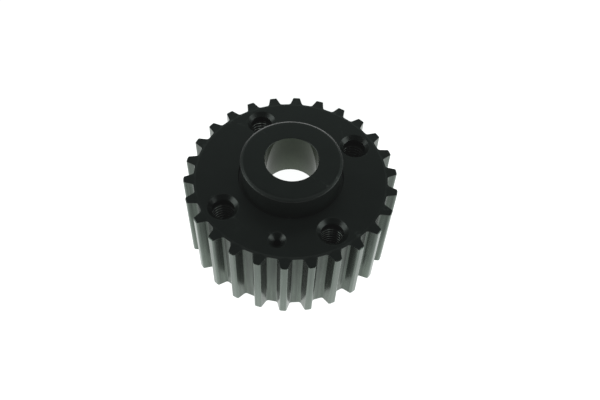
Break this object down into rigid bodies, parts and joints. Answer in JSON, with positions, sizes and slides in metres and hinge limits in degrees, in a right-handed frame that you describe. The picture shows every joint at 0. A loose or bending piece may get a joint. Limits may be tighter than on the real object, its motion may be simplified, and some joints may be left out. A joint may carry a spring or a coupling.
{
  "type": "timing belt pulley",
  "caption": "Crankshaft timing belt pulley: wide toothed steel wheel with a pressed-in hub collar, centre bolt bore, countersunk tapped holes and a recessed back with a drive pin.",
  "frame": {"origin": "on the bore axis, in the plane of the back face that it stands on", "axes": "+Z along the bore axis, towards the hub collar; +X to the right and +Y to the rear as it stands on its back face with the small locating hole in front"},
  "size_m": [0.0646, 0.0648, 0.0342],
  "materials": {
    "toothed_wheel": "black oxide on the faces, bright machined teeth",
    "hub_sleeve": "black oxide outside, bright reamed bore",
    "drive_pin": "ground"
  },
  "bodies": {
    "root": {"toothed_wheel": "toothed_wheel", "hub_sleeve": "hub_sleeve", "drive_pin": "drive_pin"}
  },
  "joints": []
}
